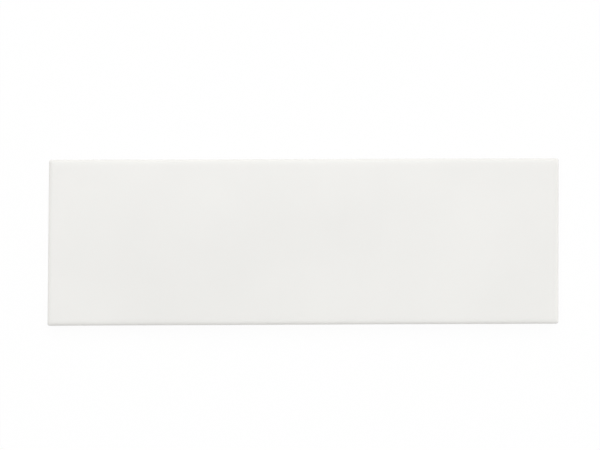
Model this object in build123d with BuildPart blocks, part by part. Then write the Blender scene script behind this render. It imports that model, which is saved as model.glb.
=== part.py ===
from build123d import *
from math import atan, degrees
import os

# Glazed ceramic field tile, pressed from clay and fired as one piece, in millimetres.
# It lies on its back: +X runs along its length and +Z points out of the glazed face.
# The origin is the middle of the back, on the plane that the keying ribs rest on.

# The tile as it is laid
length = 200.0
width = 65.0
thickness = 8.0
corner_radius = 0.8

# The cushioned arris rolls from the flat face down to the upright collar on all four sides
cushion_radius = 1.8

# Below the collar the flank leans in, so that the pressed tile leaves its die
flank_top = 3.6
flank_inset = 0.35
back_bevel = 0.3

# Keying pattern of the back: a plain rim, and ribs that cross between shallow pockets
rim_width = 4.5
rib_width = 1.6
pocket_columns = 12
pocket_rows = 4
pocket_depth = 0.5
pocket_corner = 1.5
pocket_draft = 30.0

flank_height = flank_top - back_bevel
flank_draft = degrees(atan(flank_inset / flank_height))
foot_length = length - 2 * flank_inset
foot_width = width - 2 * flank_inset
foot_corner = corner_radius - flank_inset

keyed_length = foot_length - 2 * (back_bevel + rim_width)
keyed_width = foot_width - 2 * (back_bevel + rim_width)
pocket_pitch_x = (keyed_length + rib_width) / pocket_columns
pocket_pitch_y = (keyed_width + rib_width) / pocket_rows
pocket_length = pocket_pitch_x - rib_width
pocket_width = pocket_pitch_y - rib_width


def cushioned_section(plane, span):
    # Collar, cushioned arris and face, cut square across one direction of the tile
    edge = span / 2
    with BuildSketch(plane) as section:
        with BuildLine():
            Polyline((0, flank_top), (edge, flank_top), (edge, thickness - cushion_radius))
            RadiusArc(
                (edge, thickness - cushion_radius),
                (edge - cushion_radius, thickness),
                -cushion_radius,
            )
            Line((edge - cushion_radius, thickness), (0, thickness))
            mirror(about=Plane.YZ)
        make_face()
    return section.sketch


with BuildPart() as field_tile:
    # The two sections cross, so the cushioned arrises meet in a mitre at each corner
    extrude(cushioned_section(Plane.YZ, width), amount=length / 2, both=True)
    extrude(
        cushioned_section(Plane.XZ, length),
        amount=width / 2,
        both=True,
        mode=Mode.INTERSECT,
    )

    # Each upright corner is rounded, and the rounding runs on up its mitre to the face
    fillet(field_tile.edges().filter_by(Axis.Z), corner_radius)

    # The flank tapers from the collar down to the foot
    with BuildSketch(Plane.XY.offset(flank_top)):
        RectangleRounded(length, width, corner_radius)
    extrude(amount=-flank_height, taper=flank_draft)

    # A bevel breaks the edge of the foot
    with BuildSketch(Plane.XY.offset(back_bevel)):
        RectangleRounded(foot_length, foot_width, foot_corner)
    extrude(amount=-back_bevel, taper=45)

    # Pockets with sloping walls leave the rim and the crossing ribs standing
    with BuildSketch():
        with GridLocations(pocket_pitch_x, pocket_pitch_y, pocket_columns, pocket_rows):
            RectangleRounded(pocket_length, pocket_width, pocket_corner)
    extrude(amount=pocket_depth, taper=pocket_draft, mode=Mode.SUBTRACT)

field_tile.part.label = "field_tile"

os.makedirs("parts", exist_ok=True)
export_step(field_tile.part, "parts/field_tile.step")
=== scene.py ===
# Glazed field tile, fired and lying on its back, seen from straight above in soft studio light
import bpy
import math
from mathutils import Euler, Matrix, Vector, noise


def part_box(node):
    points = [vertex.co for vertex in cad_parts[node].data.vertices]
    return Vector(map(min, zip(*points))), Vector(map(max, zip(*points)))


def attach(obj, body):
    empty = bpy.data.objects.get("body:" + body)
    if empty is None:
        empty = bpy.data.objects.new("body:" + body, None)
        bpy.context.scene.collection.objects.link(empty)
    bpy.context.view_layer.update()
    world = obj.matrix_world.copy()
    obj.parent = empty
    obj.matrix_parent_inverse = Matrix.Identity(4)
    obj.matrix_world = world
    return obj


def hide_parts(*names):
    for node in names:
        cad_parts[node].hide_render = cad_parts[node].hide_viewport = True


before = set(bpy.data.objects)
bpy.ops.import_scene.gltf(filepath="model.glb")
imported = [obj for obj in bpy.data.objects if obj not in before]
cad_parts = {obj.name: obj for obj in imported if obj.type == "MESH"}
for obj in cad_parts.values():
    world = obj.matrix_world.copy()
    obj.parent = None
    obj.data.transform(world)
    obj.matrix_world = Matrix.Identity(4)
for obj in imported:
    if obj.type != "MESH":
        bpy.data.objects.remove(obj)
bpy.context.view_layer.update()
mm = 0.001

low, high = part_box("field_tile")
halfLength, halfWidth, faceHeight = high.x, high.y, high.z
print("frame loaded: tile", [round(side / mm, 2) for side in high - low], "mm")


# The pressed and fired piece
tileShape = {
    "collar": 6.2 * mm,        # height at which the rolled arris meets the upright collar
    "roll": 1.15 * mm,         # the glazed arris falls away from the face by this much
    "rollWidth": 0.557 * mm,   # and eases off over this distance
    "lip": 0.007 * mm,         # how tightly the roll turns down into the collar
    "rollEnd": 3.4 * mm,       # from here in the face is as good as flat
    "thinBand": 0.55 * mm,     # the glaze is thinnest this far in from the side
    "thinBandWidth": 0.5 * mm,
    "corner": 0.8 * mm,        # upright corners, seen from above
    "cornerReach": 2.6 * mm,   # how far along the sides a corner's rounding is felt
    "mitreSoftening": 0.4 * mm,    # the glaze rounds the mitres more towards the face
    "softeningEnd": 2 * mm,    # and has added all of that this far in
    "mitreFade": 1.9 * mm,     # the mitres start to run out into the face here
    "mitreEnd": 3.8 * mm,      # and are gone here
    "flankTop": 3.6 * mm,      # below this height the flank leans in
    "flankInset": 0.35 * mm,
    "flankGrit": 0.02 * mm,    # small unevenness of the bare flank
    "flankGritSize": 1.3 * mm,
    "bevel": 0.3 * mm,
    "footCorner": 0.3 * mm,
    "footCornerReach": 0.8 * mm,
    "footCornerEnd": 1.5 * mm,     # the rounding of the foot's corners is gone this far in
    "footEnd": 2 * mm,         # further in, the pockets shape the back
    "bow": 0.03 * mm,          # the middle of the face stands proud of its ends
    "outOfSquare": 0.6 * mm,   # the kiln pulls the far side over by this much
    "wander": 0.05 * mm,       # slow wave in the run of the sides
    "wanderSize": 55 * mm,
    "ripple": 0.024 * mm,      # long waves in the glaze
    "rippleSize": 17 * mm,
    "fineRipple": 0.4,         # a second wave on top of them, by its share of their height
    "fineTimes": 2.7,          # and how many times shorter it is
    "taut": 1.5 * mm,          # this near the collar the waves are pulled out of the glaze
}

# The keyed back
tileBack = {
    "rim": 4.5 * mm,
    "rib": 1.6 * mm,
    "columns": 12,
    "rows": 4,
    "depth": 0.5 * mm,
    "pocketCorner": 1.5 * mm,
    "cornerReach": 2.4 * mm,   # how far along its mouth a pocket's corner is felt
    "cornerFull": -0.1 * mm,   # the corner is fully round from here, outside the mouth
    "cornerFade": 0.4 * mm,    # starts to square up here, inside it
    "cornerEnd": 1.4 * mm,     # and is square again here
    "wallStart": -0.04 * mm,   # the wall's soft top edge, outside the mouth
    "wallEnd": 0.36 * mm,      # the wall's soft bottom edge, inside it
    "unevenness": 0.03 * mm,
    "unevennessSize": 6 * mm,
    "unevenFull": 0.4 * mm,    # it is at its full height this far inside the mouth
    "chips": 0.5 * mm,         # the foot loses this much for each whole unit of noise above chipFrom
    "chipFrom": 0.3,
    "chipSize": 3.5 * mm,
    "chipReach": 1.0 * mm,     # how far in from the foot a chip is felt
    "chipRise": 0.5,           # a chip lifts the foot by this share of its depth
}

# Mesh lines: round the arris and the rim, across a pocket's wall, and over a pocket's floor
edgeSteps = 15
faceCrowding = 2               # the higher, the closer the lines stand at the edge
rimCrowding = 1.5
rimEnd = 3.7 * mm
wallSteps = [-0.3 * mm, -0.04 * mm, 0.06 * mm, 0.16 * mm, 0.26 * mm, 0.38 * mm, 0.8 * mm]
floorSteps = 6

# Where the glaze stops on the sides
glazeLine = {
    "height": 4.6 * mm,
    "wave": 0.7 * mm,
    "waveSize": 19 * mm,
    "tremble": 0.2 * mm,
    "trembleSize": 3.2 * mm,
    "drip": 3.4 * mm,          # the glaze runs down this much for each whole unit of noise above dripFrom
    "dripSize": 7 * mm,
    "dripFrom": 0.3,
    "coat": 0.14 * mm,         # how far the glaze stands off the bare body
    "bead": 0.06 * mm,
    "beadPlace": 0.86,         # the bead is thickest at this share of the way down to the line
    "beadWidth": 0.1,
    "lipStart": 0.93,          # from this share of the way down the glaze rounds off
    "lipThinning": 0.8,        # and it loses this share of its coat
    "thinFrom": 0.92,          # from this share of the way down the body warms it
    "bodyOut": 0.3,            # the bare body comes out to the flank from this share of its own height down
    "mistEnd": 0.35,           # and the mist of glaze on it ends at this share
}
# Rows of the glazed part of the side: share of the way down to the line
glazedRows = [0.14, 0.34, 0.54, 0.72, 0.84, 0.93, 0.98, 1.0]
# Rows of the bare part: share of the way from the line down to the bevel
bareRows = [0.02, 0.07, 0.18, 0.36, 0.58, 0.8, 1.0]
# Rows round the bevel: share of the way down, and share of the way in to the foot
bevelRows = [(0.33, 0.17), (0.73, 0.5)]

# Each wave has a layer of the noise to itself, so that no two are alike
noiseLayers = {
    "ripple": 0.5,
    "fineRipple": 4.2,
    "endWander": 3.1,
    "sideWander": 7.7,
    "glazeLine": 1.3,
    "tremble": 2.9,
    "drips": 5.4,
    "grit": 6.6,
    "chips": 8.8,
    "floors": 9.3,
}


def smooth(start, end, value):
    share = min(max((value - start) / (end - start), 0.0), 1.0)
    return share * share * (3 - 2 * share)


def wave(x, y, size, layer):
    return noise.noise(Vector((x / size, y / size, noiseLayers[layer])))


def roundCorner(dx, dy, radius, reach):
    # Takes a point's distances from the two sides of a sharp corner and gives them for a rounded one.
    # Points on one ring stay on it, and past the reach nothing moves.
    ring, along = min(dx, dy), abs(dx - dy)
    if radius <= 0 or along >= reach:
        return dx, dy
    quarter = math.pi * radius / 4
    run = along * (reach - radius + quarter) / reach
    if run < quarter:
        angle = math.pi / 4 - run / radius
        near, far = ring + radius * (1 - math.cos(angle)), ring + radius * (1 - math.sin(angle))
    else:
        near, far = ring, ring + radius + run - quarter
    return (near, far) if dx <= dy else (far, near)


def keyPattern(half, count):
    # Pitch of the pockets along one side, and half of a pocket's mouth
    keyed = half - tileShape["flankInset"] - tileShape["bevel"] - tileBack["rim"]
    pitch = (2 * keyed + tileBack["rib"]) / count
    return pitch, (pitch - tileBack["rib"]) / 2


def meshLines(half, count):
    # Places of the mesh lines along one side, as (on the face, on the back)
    pitch, mouth = keyPattern(half, count)
    wall = [mouth - step for step in wallSteps]
    floor = [wall[-1] * (2 * step / floorSteps - 1) for step in range(1, floorSteps)]
    lines = [0.0]
    for pocket in range(count // 2):
        centre = (pocket + 0.5) * pitch
        lines += [centre - w for w in wall] + [centre + f for f in floor]
        lines += [centre + w for w in reversed(wall)] + [centre + pitch / 2]
    lines.pop()
    foot = half - tileShape["flankInset"] - tileShape["bevel"]
    shares = [step / edgeSteps for step in range(edgeSteps, -1, -1)]
    edge = [(half - tileShape["rollEnd"] * share ** faceCrowding, foot - rimEnd * share ** rimCrowding)
            for share in shares]
    outward = [(line, line) for line in lines] + edge
    return [(-a, -b) for a, b in outward[:0:-1]] + outward


def settle(x, y, z):
    # What the kiln does to the pressed shape: out of square, and sides that wander a little
    size = tileShape["wanderSize"]
    x += tileShape["outOfSquare"] * y / (2 * halfWidth)
    x += tileShape["wander"] * wave(0, y, size, "endWander") * x / halfLength
    side = math.copysign(1, y)    # the near and the far side wander each in its own way
    y += tileShape["wander"] * wave(x, side, size, "sideWander") * y / halfWidth
    return x, y, z


def arrisDrop(ring):
    # How far below the face the glaze lies at this distance from the side
    upright = faceHeight - tileShape["collar"] - tileShape["roll"]
    return (tileShape["roll"] * math.exp(-ring / tileShape["rollWidth"])
            + upright * math.exp(-ring / tileShape["lip"]))


def facePoint(x, y):
    dx, dy = halfLength - abs(x), halfWidth - abs(y)
    ring = min(dx, dy)
    radius = tileShape["corner"] + tileShape["mitreSoftening"] * smooth(0, tileShape["softeningEnd"], ring)
    radius *= 1 - smooth(tileShape["mitreFade"], tileShape["mitreEnd"], ring)
    nx, ny = roundCorner(dx, dy, radius, tileShape["cornerReach"])
    size = tileShape["rippleSize"]
    swell = wave(x, y, size, "ripple")
    swell += tileShape["fineRipple"] * wave(x, y, size / tileShape["fineTimes"], "fineRipple")
    uneven = tileShape["ripple"] * swell - tileShape["bow"] * (x / halfLength) ** 2
    loose = smooth(0, tileShape["taut"], ring)
    z = faceHeight - arrisDrop(ring) + loose * uneven
    return settle(math.copysign(halfLength - nx, x), math.copysign(halfWidth - ny, y), z)


def crumbled(x, y):
    # How much the foot has lost at this place along it
    return tileBack["chips"] * max(wave(x, y, tileBack["chipSize"], "chips") - tileBack["chipFrom"], 0)


def nearFoot(distance):
    # One on the foot's own edge, nought where its chips are no longer felt
    return 1 - smooth(0, tileBack["chipReach"], distance)


def backPoint(x, y):
    # Sharp place on the back, moved to the rounded foot, or to the rounded pocket it belongs to
    inset = tileShape["flankInset"] + tileShape["bevel"]
    dx, dy = halfLength - inset - abs(x), halfWidth - inset - abs(y)
    ring = min(dx, dy)
    if ring < tileShape["footEnd"]:
        radius = tileShape["footCorner"] * (1 - smooth(0, tileShape["footCornerEnd"], ring))
        nx, ny = roundCorner(dx, dy, radius, tileShape["footCornerReach"])
        lost = crumbled(x, y)
        nx, ny = nx + lost * nearFoot(dx), ny + lost * nearFoot(dy)
        return settle(math.copysign(halfLength - inset - nx, x), math.copysign(halfWidth - inset - ny, y),
                      tileBack["chipRise"] * lost * nearFoot(ring))
    centre, edge = [], []
    for place, half, count in ((x, halfLength, tileBack["columns"]), (y, halfWidth, tileBack["rows"])):
        pitch, mouth = keyPattern(half, count)
        pocket = min(max(math.floor(place / pitch + count / 2), 0), count - 1)
        centre.append((pocket + 0.5 - count / 2) * pitch)
        edge.append((mouth, mouth - abs(place - centre[-1])))
    ring = min(edge[0][1], edge[1][1])
    radius = (tileBack["pocketCorner"] - ring) * smooth(-tileBack["rib"] / 2, tileBack["cornerFull"], ring)
    radius *= 1 - smooth(tileBack["cornerFade"], tileBack["cornerEnd"], ring)
    ex, ey = roundCorner(edge[0][1], edge[1][1], radius, tileBack["cornerReach"])
    z = tileBack["depth"] * smooth(tileBack["wallStart"], tileBack["wallEnd"], ring)
    uneven = tileBack["unevenness"] * smooth(0, tileBack["unevenFull"], ring)
    z += uneven * wave(x, y, tileBack["unevennessSize"], "floors")
    return settle(math.copysign(edge[0][0] - ex, x - centre[0]) + centre[0],
                  math.copysign(edge[1][0] - ey, y - centre[1]) + centre[1], z)


def lineHeight(x, y):
    # Height of the glaze's lower edge at this place on the side
    height = glazeLine["height"] + glazeLine["wave"] * wave(x, y, glazeLine["waveSize"], "glazeLine")
    height += glazeLine["tremble"] * wave(x, y, glazeLine["trembleSize"], "tremble")
    run = max(wave(x, y, glazeLine["dripSize"], "drips") - glazeLine["dripFrom"], 0)
    return height - glazeLine["drip"] * run


def sideRows(x, y, lost):
    # (height, distance in from the collar, chipped off the foot, share of thin glaze, glaze mist)
    # down one line of the side, where the foot has lost this much
    top, bevel = tileShape["collar"], tileShape["bevel"]
    line = lineHeight(x, y)

    def flank(z):
        return tileShape["flankInset"] * max(tileShape["flankTop"] - z, 0) / (tileShape["flankTop"] - bevel)

    rows = []
    for share in glazedRows:
        z = top + (line - top) * share
        offBead = (share - glazeLine["beadPlace"]) / glazeLine["beadWidth"]
        bead = glazeLine["bead"] * math.exp(-offBead ** 2)
        past = max(share - glazeLine["lipStart"], 0) / (1 - glazeLine["lipStart"])
        thinned = glazeLine["lipThinning"] * glazeLine["coat"] * (1 - math.sqrt(1 - past * past))
        rows.append((z, flank(z) + thinned - bead, 0.0, smooth(glazeLine["thinFrom"], 1.0, share), 1.0))
    for share in bareRows:
        z = line + (bevel - line) * share
        grit = tileShape["flankGrit"] * wave(x + z, y + z, tileShape["flankGritSize"], "grit")
        bared = glazeLine["coat"] * (1 - smooth(glazeLine["bodyOut"], 1, share))
        rows.append((z, flank(z) + bared + grit, 0.0, 0.0, 1 - smooth(0, glazeLine["mistEnd"], share)))
    for down, inward in bevelRows:
        z = bevel + (tileBack["chipRise"] * lost - bevel) * down
        rows.append((z, tileShape["flankInset"] + bevel * inward, lost * inward, 0.0, 0.0))
    return rows


def firedTile():
    alongX = meshLines(halfLength, tileBack["columns"])
    alongY = meshLines(halfWidth, tileBack["rows"])
    wide, deep = len(alongX), len(alongY)
    places = []
    coating = {"thinGlaze": [], "glazeMist": [], "flank": []}

    def addPoint(place, thinness, mist, side):
        places.append(place)
        for values, value in zip(coating.values(), (thinness, mist, side)):
            values.append(value)

    for x, _ in alongX:
        for y, _ in alongY:
            ring = min(halfLength - abs(x), halfWidth - abs(y))
            offBand = (ring - tileShape["thinBand"]) / tileShape["thinBandWidth"]
            addPoint(facePoint(x, y), math.exp(-offBand ** 2), 0.0, 0.0)
    backStart = len(places)
    for _, x in alongX:
        for _, y in alongY:
            addPoint(backPoint(x, y), 0.0, 0.0, 0.0)

    rim = [(i, 0) for i in range(wide - 1)] + [(wide - 1, j) for j in range(deep - 1)]
    rim += [(i, deep - 1) for i in range(wide - 1, 0, -1)] + [(0, j) for j in range(deep - 1, 0, -1)]
    inset = tileShape["flankInset"] + tileShape["bevel"]
    collar = tileShape["collar"]
    rings = [[i * deep + j for i, j in rim]]
    rowCount = len(glazedRows) + len(bareRows) + len(bevelRows)
    rings += [[] for _ in range(rowCount)]
    for i, j in rim:
        (x, backX), (y, backY) = alongX[i], alongY[j]
        for row, (z, inward, lost, thinness, mist) in enumerate(sideRows(x, y, crumbled(backX, backY))):
            share = (collar - z) / collar
            runX = (halfLength - abs(x)) * (1 - share) + (halfLength - inset - abs(backX)) * share
            runY = (halfWidth - abs(y)) * (1 - share) + (halfWidth - inset - abs(backY)) * share
            radius = max(tileShape["corner"] - inward, tileShape["footCorner"])
            dx, dy = roundCorner(inward + runX, inward + runY, radius, tileShape["cornerReach"])
            dx, dy = dx + lost * nearFoot(runX), dy + lost * nearFoot(runY)
            rings[row + 1].append(len(places))
            side = settle(math.copysign(halfLength - dx, x), math.copysign(halfWidth - dy, y), z)
            addPoint(side, thinness, mist, 1.0)
    rings.append([backStart + i * deep + j for i, j in rim])

    faces, bare = [], []
    for i in range(wide - 1):
        for j in range(deep - 1):
            a, b, c, d = i * deep + j, (i + 1) * deep + j, (i + 1) * deep + j + 1, i * deep + j + 1
            if (i < wide // 2) != (j < deep // 2):    # so that all four mitres are edges of the mesh
                a, b, c, d = b, c, d, a
            faces.append((a, b, c, d))
            bare.append(0)
            faces.append((backStart + a, backStart + d, backStart + c, backStart + b))
            bare.append(1)
    for row in range(len(rings) - 1):
        upper, lower = rings[row], rings[row + 1]
        for k in range(len(rim)):
            n = (k + 1) % len(rim)
            faces.append((upper[k], lower[k], lower[n], upper[n]))
            bare.append(0 if row < len(glazedRows) else 1)

    mesh = bpy.data.meshes.new("fired_tile")
    mesh.from_pydata(places, [], faces)
    mesh.polygons.foreach_set("material_index", bare)
    mesh.polygons.foreach_set("use_smooth", [True] * len(faces))
    for name, values in coating.items():
        mesh.attributes.new(name, "FLOAT", "POINT").data.foreach_set("value", values)
    mesh.update()
    piece = bpy.data.objects.new("fired_tile", mesh)
    bpy.context.scene.collection.objects.link(piece)
    print("fired tile:", len(places), "points,", 2 * len(faces), "triangles")
    return piece


tile = firedTile()


# Shader tools
def addNode(tree, kind, place, **values):
    # Values named after a socket are set on it, and the others on the node
    node = tree.nodes.new(kind)
    node.location = place
    for name, value in values.items():
        socket = node.inputs.get(name.replace("_", " "))
        if socket is not None:
            socket.default_value = value
        else:
            setattr(node, name, value)
    return node


def newGroup(name, inputs, outputs):
    tree = bpy.data.node_groups.new(name, "ShaderNodeTree")
    for label, kind, value in inputs:
        socket = tree.interface.new_socket(label, in_out="INPUT", socket_type=kind)
        if value is not None:
            socket.default_value = value
    for label, kind in outputs:
        tree.interface.new_socket(label, in_out="OUTPUT", socket_type=kind)
    return tree, tree.nodes.new("NodeGroupInput"), tree.nodes.new("NodeGroupOutput")


def buildMottle():
    # Cloudy tone that a fired surface keeps, and its fine grain
    tree, given, result = newGroup(
        "Fired Mottle",
        [("Place", "NodeSocketVector", None), ("Cloud Scale", "NodeSocketFloat", 60),
         ("Grain Scale", "NodeSocketFloat", 1500)],
        [("Cloud", "NodeSocketFloat"), ("Grain", "NodeSocketFloat")])
    cloud = addNode(tree, "ShaderNodeTexNoise", (-200, 100), Detail=3.0, Roughness=0.5)
    grain = addNode(tree, "ShaderNodeTexNoise", (-200, -200), Detail=4.0, Roughness=0.65)
    for node, scale in ((cloud, "Cloud Scale"), (grain, "Grain Scale")):
        tree.links.new(given.outputs["Place"], node.inputs["Vector"])
        tree.links.new(given.outputs[scale], node.inputs["Scale"])
    tree.links.new(cloud.outputs[0], result.inputs["Cloud"])
    tree.links.new(grain.outputs[0], result.inputs["Grain"])
    return tree


def buildPits():
    # Scattered pits of mixed sizes: pinholes in the glaze, ragged open pores in the bare clay
    smallest = 0.35    # share of the full pit size
    tree, given, result = newGroup(
        "Scattered Pits",
        [("Place", "NodeSocketVector", None), ("Spacing Scale", "NodeSocketFloat", 400),
         ("Pit Size", "NodeSocketFloat", 0.12), ("Share", "NodeSocketFloat", 0.2),
         ("Raggedness", "NodeSocketFloat", 0.1)],
        [("Pit", "NodeSocketFloat")])
    spread = addNode(tree, "ShaderNodeVectorMath", (-1500, 0), operation="SCALE")
    tree.links.new(given.outputs["Place"], spread.inputs[0])
    tree.links.new(given.outputs["Spacing Scale"], spread.inputs["Scale"])
    uneven = addNode(tree, "ShaderNodeTexNoise", (-1300, -200), Scale=5.0, Detail=2.0, Roughness=0.6)
    tree.links.new(spread.outputs[0], uneven.inputs["Vector"])
    centred = addNode(tree, "ShaderNodeVectorMath", (-1100, -200), operation="SUBTRACT")
    tree.links.new(uneven.outputs["Color"], centred.inputs[0])
    centred.inputs[1].default_value = (0.5, 0.5, 0.5)
    pushed = addNode(tree, "ShaderNodeVectorMath", (-900, -200), operation="SCALE")
    tree.links.new(centred.outputs[0], pushed.inputs[0])
    tree.links.new(given.outputs["Raggedness"], pushed.inputs["Scale"])
    moved = addNode(tree, "ShaderNodeVectorMath", (-700, 0), operation="ADD")
    tree.links.new(spread.outputs[0], moved.inputs[0])
    tree.links.new(pushed.outputs[0], moved.inputs[1])
    cells = addNode(tree, "ShaderNodeTexVoronoi", (-500, 0), feature="F1", Scale=1.0)
    tree.links.new(moved.outputs[0], cells.inputs["Vector"])
    split = addNode(tree, "ShaderNodeSeparateColor", (-400, -250))
    tree.links.new(cells.outputs["Color"], split.inputs[0])
    sizes = addNode(tree, "ShaderNodeMapRange", (-250, -450))
    sizes.inputs["To Min"].default_value = smallest
    tree.links.new(split.outputs[1], sizes.inputs["Value"])
    size = addNode(tree, "ShaderNodeMath", (-100, -450), operation="MULTIPLY")
    tree.links.new(sizes.outputs[0], size.inputs[0])
    tree.links.new(given.outputs["Pit Size"], size.inputs[1])
    inPit = addNode(tree, "ShaderNodeMapRange", (-250, 100), interpolation_type="SMOOTHSTEP")
    tree.links.new(cells.outputs["Distance"], inPit.inputs["Value"])
    tree.links.new(size.outputs[0], inPit.inputs["From Min"])
    inPit.inputs["From Max"].default_value = 0.0
    chosen = addNode(tree, "ShaderNodeMath", (-250, -200), operation="LESS_THAN")
    tree.links.new(split.outputs[0], chosen.inputs[0])
    tree.links.new(given.outputs["Share"], chosen.inputs[1])
    pit = addNode(tree, "ShaderNodeMath", (0, 0), operation="MULTIPLY")
    tree.links.new(inPit.outputs[0], pit.inputs[0])
    tree.links.new(chosen.outputs[0], pit.inputs[1])
    tree.links.new(pit.outputs[0], result.inputs["Pit"])
    return tree


mottleGroup, pitsGroup = buildMottle(), buildPits()


def addGroup(tree, group, place, spot, values):
    node = addNode(tree, "ShaderNodeGroup", spot, node_tree=group)
    for name, value in values.items():
        node.inputs[name].default_value = value
    tree.links.new(place, node.inputs["Place"])
    return node


def mixColour(tree, spot, factor, first, second):
    # Each colour is a plain value or the output of another node
    node = addNode(tree, "ShaderNodeMix", spot, data_type="RGBA", blend_type="MIX")
    tree.links.new(factor, node.inputs[0])
    for socket, colour in ((node.inputs[6], first), (node.inputs[7], second)):
        if isinstance(colour, tuple):
            socket.default_value = colour
        else:
            tree.links.new(colour, socket)
    return node.outputs[2]


def rescale(tree, spot, value, lowest, highest, fromLow=0.0, fromHigh=1.0):
    node = addNode(tree, "ShaderNodeMapRange", spot)
    tree.links.new(value, node.inputs["Value"])
    limits = {"From Min": fromLow, "From Max": fromHigh, "To Min": lowest, "To Max": highest}
    for name, number in limits.items():
        node.inputs[name].default_value = number
    return node.outputs[0]


def newMaterial(name):
    material = bpy.data.materials.new(name)
    material.use_nodes = True
    tree = material.node_tree
    shader = tree.nodes["Principled BSDF"]
    where = addNode(tree, "ShaderNodeTexCoord", (-1400, 0))
    return material, tree, shader, where.outputs["Object"]


# Opaque white gloss glaze
glazeLook = {
    "white": (0.863, 0.857, 0.832, 1),
    "thin": (0.85, 0.832, 0.79, 1),      # over the arris the body warms the glaze
    "thinShare": 0.35,
    "mottle": {"Cloud Scale": 24, "Grain Scale": 420},    # the grain is orange peel, about 2 mm across
    "clouds": (0.3, 0.7),                # what the cloud noise mostly lies between
    "cloudTone": (0.985, 1.012),
    "roughness": (0.085, 0.125),
    "refraction": 1.5,
    "peelHeight": 0.006 * mm,
    # pinholes show the body, darkened further as painted shade in the hole
    "pinhole": (0.6, 0.57, 0.52, 1),
    "pinholes": {"Spacing Scale": 150, "Pit Size": 0.024, "Share": 0.05, "Raggedness": 0.01},
    "pinholeDepth": 0.03 * mm,
}


def glazeMaterial():
    material, tree, shader, place = newMaterial("white_glaze")
    mottle = addGroup(tree, mottleGroup, place, (-1100, 200), glazeLook["mottle"])
    pits = addGroup(tree, pitsGroup, place, (-1100, -200), glazeLook["pinholes"])
    thin = addNode(tree, "ShaderNodeAttribute", (-1100, 500), attribute_name="thinGlaze")
    thinMask = rescale(tree, (-850, 500), thin.outputs["Fac"], 0, glazeLook["thinShare"])
    colour = mixColour(tree, (-600, 400), thinMask, glazeLook["white"], glazeLook["thin"])
    clouds = glazeLook["clouds"]
    tone = rescale(tree, (-850, 250), mottle.outputs["Cloud"], *glazeLook["cloudTone"], *clouds)
    toned = addNode(tree, "ShaderNodeVectorMath", (-400, 350), operation="SCALE")
    tree.links.new(colour, toned.inputs[0])
    tree.links.new(tone, toned.inputs["Scale"])
    # pinholes: the body showing through, with painted shade in the hole
    holed = mixColour(tree, (-200, 350), pits.outputs["Pit"], toned.outputs[0], glazeLook["pinhole"])
    tree.links.new(holed, shader.inputs["Base Color"])
    gloss = rescale(tree, (-400, 50), mottle.outputs["Cloud"], *glazeLook["roughness"], *clouds)
    tree.links.new(gloss, shader.inputs["Roughness"])
    peel = addNode(tree, "ShaderNodeBump", (-400, -300), Strength=1.0, Distance=glazeLook["peelHeight"])
    tree.links.new(mottle.outputs["Grain"], peel.inputs["Height"])
    sink = addNode(tree, "ShaderNodeBump", (-200, -300), Strength=1.0, Distance=glazeLook["pinholeDepth"],
                   invert=True)
    tree.links.new(pits.outputs["Pit"], sink.inputs["Height"])
    tree.links.new(peel.outputs[0], sink.inputs["Normal"])
    tree.links.new(sink.outputs[0], shader.inputs["Normal"])
    shader.inputs["IOR"].default_value = glazeLook["refraction"]
    return material


# Bare fired clay of the flanks and the back
# Pairs such as sandGrains are the noise at which a mark begins to show, and at which it is full
bisqueLook = {
    "mottle": {"Cloud Scale": 70, "Grain Scale": 2600},
    "clay": (0.70, 0.63, 0.525, 1),
    "paler": (0.78, 0.73, 0.64, 1),
    "palerClouds": (0.35, 0.65),
    "roughness": (0.9, 0.55),            # of the bare clay, and right under the glaze line
    "specular": 0.3,
    "grainHeight": 0.17 * mm,
    "sand": (0.58, 0.50, 0.39, 1),       # coarser grains of the pressed body
    "sandShare": 0.42,
    "sandGrains": (0.52, 0.66),
    # painted shade: the open pores are coloured darker, as the clay in a hole lies in shade
    "pore": (0.42, 0.35, 0.27, 1),
    "pores": {"Spacing Scale": 1150, "Pit Size": 0.24, "Share": 0.45, "Raggedness": 0.3},
    "poreDepth": 0.1 * mm,
    "flash": (0.68, 0.58, 0.45, 1),      # the fire colours the clay just under the glaze
    "flashShare": 0.4,
    "mist": (0.84, 0.82, 0.78, 1),       # overspray of the glaze below its line
    "mistShare": 0.7,
    "mistNearLine": (0.55, 1.0),         # the same, but of the mist stored on the mesh
    "mistSpecks": (0.4, 0.55),
    "mistLeast": 0.4,                    # share of the mist that lies between its specks
    "wash": (0.88, 0.87, 0.84, 1),       # kiln wash rolled onto the ribs
    "washShare": 0.7,
    "washReach": 0.12 * mm,              # it fades out this far into the pockets
    "washStretch": (0.4, 1, 1),          # rolled on lengthwise
    "washScale": 650,
    "washPatches": (0.3, 0.62),
    "drag": (0.62, 0.55, 0.45, 1),       # marks that the die leaves down the flanks
    "dragShare": 0.22,
    "dragStretch": (1, 1, 0.08),
    "dragScale": 2300,
    "dragStreaks": (0.5, 0.62),
    "dragDepth": 0.025 * mm,
}


def stretchedNoise(tree, spot, place, stretch, scale):
    along = addNode(tree, "ShaderNodeMapping", spot, Scale=stretch)
    tree.links.new(place, along.inputs["Vector"])
    streaks = addNode(tree, "ShaderNodeTexNoise", (spot[0] + 200, spot[1]), Scale=scale, Detail=4.0,
                      Roughness=0.6)
    tree.links.new(along.outputs[0], streaks.inputs["Vector"])
    return streaks.outputs[0]


def times(tree, spot, first, second):
    node = addNode(tree, "ShaderNodeMath", spot, operation="MULTIPLY")
    tree.links.new(first, node.inputs[0])
    tree.links.new(second, node.inputs[1])
    return node.outputs[0]


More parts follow.
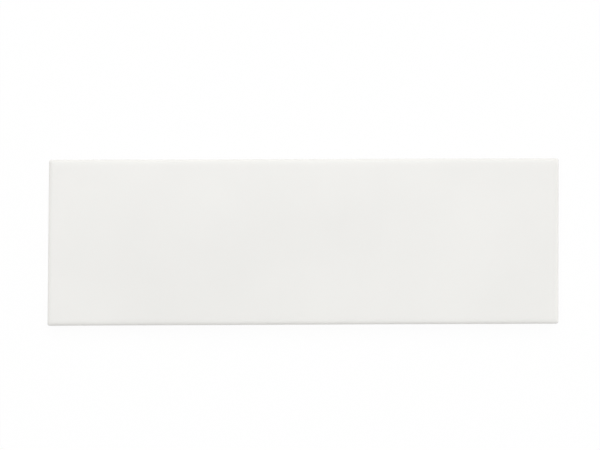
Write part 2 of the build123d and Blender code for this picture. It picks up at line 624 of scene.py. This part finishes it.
def bisqueMaterial():
    material, tree, shader, place = newMaterial("bare_clay")
    look = bisqueLook
    mottle = addGroup(tree, mottleGroup, place, (-1500, 300), look["mottle"])
    pits = addGroup(tree, pitsGroup, place, (-1500, 0), look["pores"])
    mist = addNode(tree, "ShaderNodeAttribute", (-1500, 600), attribute_name="glazeMist").outputs["Fac"]
    flank = addNode(tree, "ShaderNodeAttribute", (-1500, 800), attribute_name="flank").outputs["Fac"]
    cloud = rescale(tree, (-1250, 300), mottle.outputs["Cloud"], 0, 1, *look["palerClouds"])
    colour = mixColour(tree, (-1250, 900), cloud, look["clay"], look["paler"])
    sand = rescale(tree, (-1250, 150), mottle.outputs["Grain"], 0, look["sandShare"], *look["sandGrains"])
    colour = mixColour(tree, (-1050, 300), sand, colour, look["sand"])

    # Down the flanks: drag marks, the flashed band and the mist of glaze
    drag = stretchedNoise(tree, (-1650, 1000), place, look["dragStretch"], look["dragScale"])
    streaks = rescale(tree, (-1250, 1000), drag, 0, look["dragShare"], *look["dragStreaks"])
    dragMask = times(tree, (-1050, 800), flank, streaks)
    colour = mixColour(tree, (-850, 300), dragMask, colour, look["drag"])
    flashed = rescale(tree, (-1250, 650), mist, 0, look["flashShare"])
    colour = mixColour(tree, (-650, 300), flashed, colour, look["flash"])
    nearLine = rescale(tree, (-1250, 500), mist, 0, look["mistShare"], *look["mistNearLine"])
    specks = rescale(tree, (-1250, 100), mottle.outputs["Grain"], look["mistLeast"], 1, *look["mistSpecks"])
    speckled = times(tree, (-1050, 550), nearLine, specks)
    colour = mixColour(tree, (-450, 300), speckled, colour, look["mist"])

    # On the back: kiln wash, only where the ribs and the rim stand proud
    height = addNode(tree, "ShaderNodeSeparateXYZ", (-1500, -300))
    tree.links.new(place, height.inputs[0])
    crest = rescale(tree, (-1250, -300), height.outputs["Z"], look["washShare"], 0, 0.0, look["washReach"])
    rolled = stretchedNoise(tree, (-1650, -500), place, look["washStretch"], look["washScale"])
    patches = rescale(tree, (-1250, -500), rolled, 0, 1, *look["washPatches"])
    washMask = times(tree, (-1050, -300), crest, patches)
    colour = mixColour(tree, (-250, 300), washMask, colour, look["wash"])
    # painted shade in the open pores
    colour = mixColour(tree, (-50, 300), pits.outputs["Pit"], colour, look["pore"])
    tree.links.new(colour, shader.inputs["Base Color"])
    tree.links.new(rescale(tree, (-250, 0), mist, *look["roughness"]), shader.inputs["Roughness"])

    bumps = [
        (mottle.outputs["Grain"], look["grainHeight"], False),
        (dragMask, look["dragDepth"], True),
        (pits.outputs["Pit"], look["poreDepth"], True),
    ]
    surface = None
    for number, (pattern, depth, sunk) in enumerate(bumps):
        bump = addNode(tree, "ShaderNodeBump", (-650 + 200 * number, -300), Strength=1.0, Distance=depth,
                       invert=sunk)
        tree.links.new(pattern, bump.inputs["Height"])
        if surface:
            tree.links.new(surface, bump.inputs["Normal"])
        surface = bump.outputs[0]
    tree.links.new(surface, shader.inputs["Normal"])
    shader.inputs["Specular IOR Level"].default_value = look["specular"]
    return material


tile.data.materials.append(glazeMaterial())
tile.data.materials.append(bisqueMaterial())
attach(tile, "root")
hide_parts("field_tile")
print("glaze and bare clay are on the tile")


# White floor and surround: plain white to the camera and in reflections, and a shadow left on the floor
studio = {
    "floorSize": 40.0,         # metres
    "floorDrop": 0.05 * mm,
    "floorWhite": 0.97,
    "floorGlow": 0.95,         # share of the floor that is plain white, the rest is lit and shaded
    "skyLight": 0.53,          # light from all around, where 1 would show a white face as white
}
# The rest comes from soft boxes: light on the face in the same measure, degrees above the floor,
# degrees to the right of the far side, metres away, metres across, and whether the glaze mirrors it
softBoxes = {
    "far_side": (0.49, 61, 2, 2.4, 2.4, False),
    "far_side_sheen": (0.08, 61, 2, 1.6, 1.6, True),
    "right_end": (0.022, 15, 90, 1.4, 0.8, True),
    "far_left": (0.003, 25, -45, 1.3, 0.24, True),
}


def seenDirectly(tree, spot):
    # One for what the camera, reflections and clear things see, nought for diffuse light
    rays = addNode(tree, "ShaderNodeLightPath", spot)
    both = addNode(tree, "ShaderNodeMath", (spot[0] + 200, spot[1]), operation="MAXIMUM")
    allRays = addNode(tree, "ShaderNodeMath", (spot[0] + 400, spot[1]), operation="MAXIMUM")
    tree.links.new(rays.outputs["Is Camera Ray"], both.inputs[0])
    tree.links.new(rays.outputs["Is Glossy Ray"], both.inputs[1])
    tree.links.new(both.outputs[0], allRays.inputs[0])
    tree.links.new(rays.outputs["Is Transmission Ray"], allRays.inputs[1])
    return allRays.outputs[0]


def buildFloor():
    half = studio["floorSize"] / 2
    mesh = bpy.data.meshes.new("floor")
    corners = [(-half, -half, 0), (half, -half, 0), (half, half, 0), (-half, half, 0)]
    mesh.from_pydata(corners, [], [(0, 1, 2, 3)])
    floor = bpy.data.objects.new("floor", mesh)
    floor.location.z = -studio["floorDrop"]
    bpy.context.scene.collection.objects.link(floor)
    material, tree, shader, _ = newMaterial("white_floor")
    white = studio["floorWhite"]
    shader.inputs["Base Color"].default_value = (white, white, white, 1)
    shader.inputs["Roughness"].default_value = 1.0
    shader.inputs["Specular IOR Level"].default_value = 0.0
    glow = addNode(tree, "ShaderNodeEmission", (0, -500), Color=(1, 1, 1, 1), Strength=1.0)
    share = addNode(tree, "ShaderNodeMath", (0, 300), operation="MULTIPLY")
    share.inputs[1].default_value = studio["floorGlow"]
    tree.links.new(seenDirectly(tree, (-700, 300)), share.inputs[0])
    blend = addNode(tree, "ShaderNodeMixShader", (400, 100))
    tree.links.new(share.outputs[0], blend.inputs[0])
    tree.links.new(shader.outputs[0], blend.inputs[1])
    tree.links.new(glow.outputs[0], blend.inputs[2])
    tree.links.new(blend.outputs[0], tree.nodes["Material Output"].inputs["Surface"])
    mesh.materials.append(material)


def buildSurround():
    world = bpy.data.worlds.new("white_room")
    bpy.context.scene.world = world
    world.use_nodes = True
    tree = world.node_tree
    light = tree.nodes["Background"]
    light.inputs["Color"].default_value = (1, 1, 1, 1)
    light.inputs["Strength"].default_value = studio["skyLight"]
    seen = addNode(tree, "ShaderNodeBackground", (0, -200), Color=(1, 1, 1, 1), Strength=1.0)
    blend = addNode(tree, "ShaderNodeMixShader", (300, 0))
    tree.links.new(seenDirectly(tree, (-500, 200)), blend.inputs[0])
    tree.links.new(light.outputs[0], blend.inputs[1])
    tree.links.new(seen.outputs[0], blend.inputs[2])
    tree.links.new(blend.outputs[0], tree.nodes["World Output"].inputs["Surface"])


def hangBox(name, onFace, height, turn, distance, size, mirrored):
    # The power follows from the light wanted on the face, as if the box were small for its distance
    up, turn = math.radians(height), math.radians(turn)
    towards = Vector((math.cos(up) * math.sin(turn), math.cos(up) * math.cos(turn), math.sin(up)))
    lamp = bpy.data.lights.new(name, "AREA")
    lamp.shape = "SQUARE"
    lamp.size = size
    lamp.energy = onFace * (math.pi * distance) ** 2 / math.sin(up)
    box = bpy.data.objects.new(name, lamp)
    box.location = towards * distance
    box.rotation_mode = "QUATERNION"
    box.rotation_quaternion = towards.to_track_quat("Z", "Y")
    box.visible_glossy = mirrored
    bpy.context.scene.collection.objects.link(box)


buildFloor()
buildSurround()
for name, values in softBoxes.items():
    hangBox(name, *values)
print("studio is lit")


# Camera above the tile, as the picture shows it
cameraView = {
    "lens": 85,                      # this and the sensor in millimetres, as on a camera
    "sensor": 36,
    "distance": 554.2 * mm,          # from the place on the face that it aims at
    "aim": (-1.5 * mm, 6.52 * mm),
    "tilt": (1.6, -0.6, -0.21),      # degrees about X, Y and Z
    "clip": (0.01, 100),             # metres
}


def placeCamera():
    lens = bpy.data.cameras.new("camera")
    lens.lens = cameraView["lens"]
    lens.sensor_width = cameraView["sensor"]
    lens.clip_start, lens.clip_end = cameraView["clip"]
    camera = bpy.data.objects.new("camera", lens)
    turned = Euler([math.radians(angle) for angle in cameraView["tilt"]], "XYZ").to_matrix()
    aim = Vector((*cameraView["aim"], faceHeight))
    camera.location = aim + turned @ Vector((0, 0, cameraView["distance"]))
    camera.rotation_euler = turned.to_euler()
    bpy.context.scene.collection.objects.link(camera)
    bpy.context.scene.camera = camera


placeCamera()
bpy.context.scene.view_settings.view_transform = "Standard"
print("camera is placed")
